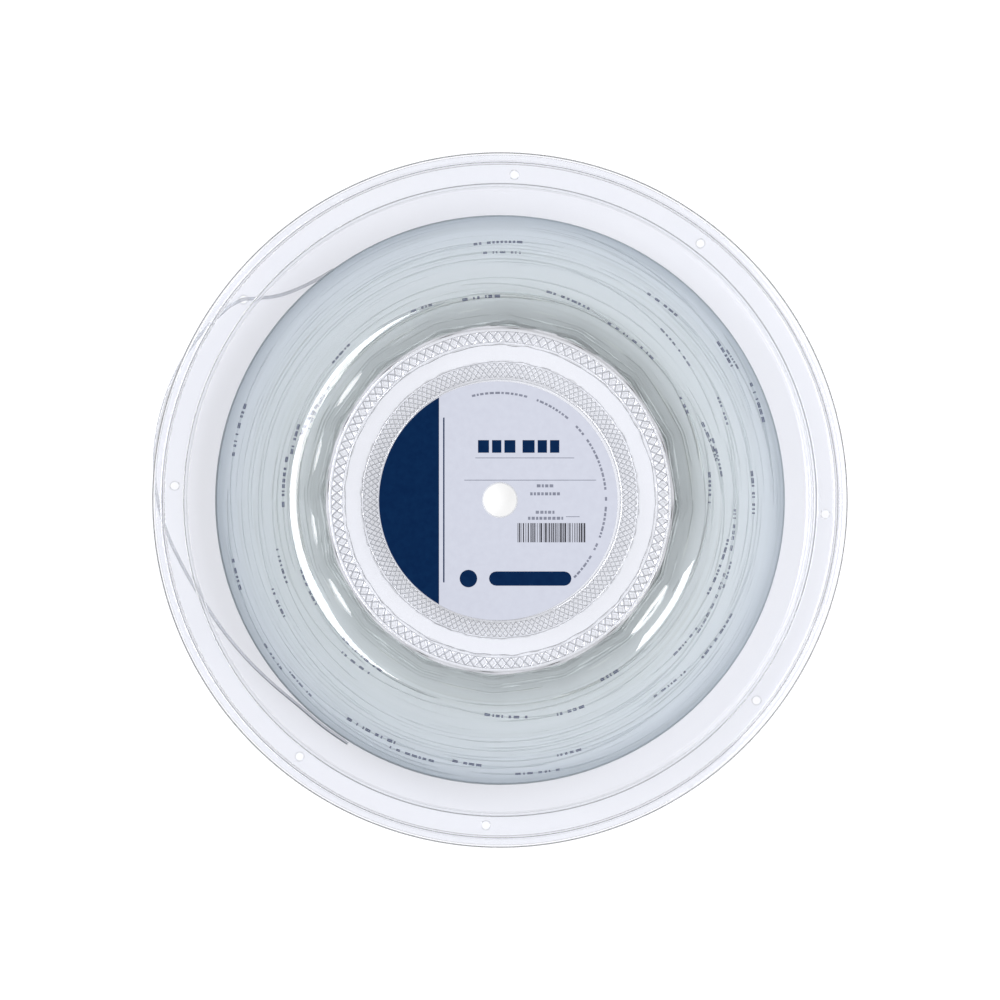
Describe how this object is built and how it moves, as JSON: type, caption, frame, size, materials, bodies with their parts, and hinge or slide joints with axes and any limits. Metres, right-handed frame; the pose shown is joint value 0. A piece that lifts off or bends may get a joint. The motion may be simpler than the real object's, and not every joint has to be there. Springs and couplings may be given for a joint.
{
  "type": "racket string reel",
  "caption": "Round clear plastic reel with a recessed welded hub, holding wound racket string between two flanges, with a loose string end and a round label.",
  "frame": {"origin": "on the reel's axis, in the plane of the rear rim's flat land, which the reel lies on", "axes": "+Z along the reel's axis, out of the front recess with the label; +X and +Y in the plane of the reel, with the label upright along +Y"},
  "size_m": [0.2534, 0.2534, 0.0278],
  "materials": {
    "clear_plastic": "glossy, transparent",
    "label": "satin coated paper, printed",
    "string": "semi-gloss, slightly translucent"
  },
  "bodies": {
    "root": {"front_shell": "clear_plastic", "rear_shell": "clear_plastic", "front_label": "label", "string_winding": "string", "string_tail": "string"}
  },
  "joints": []
}
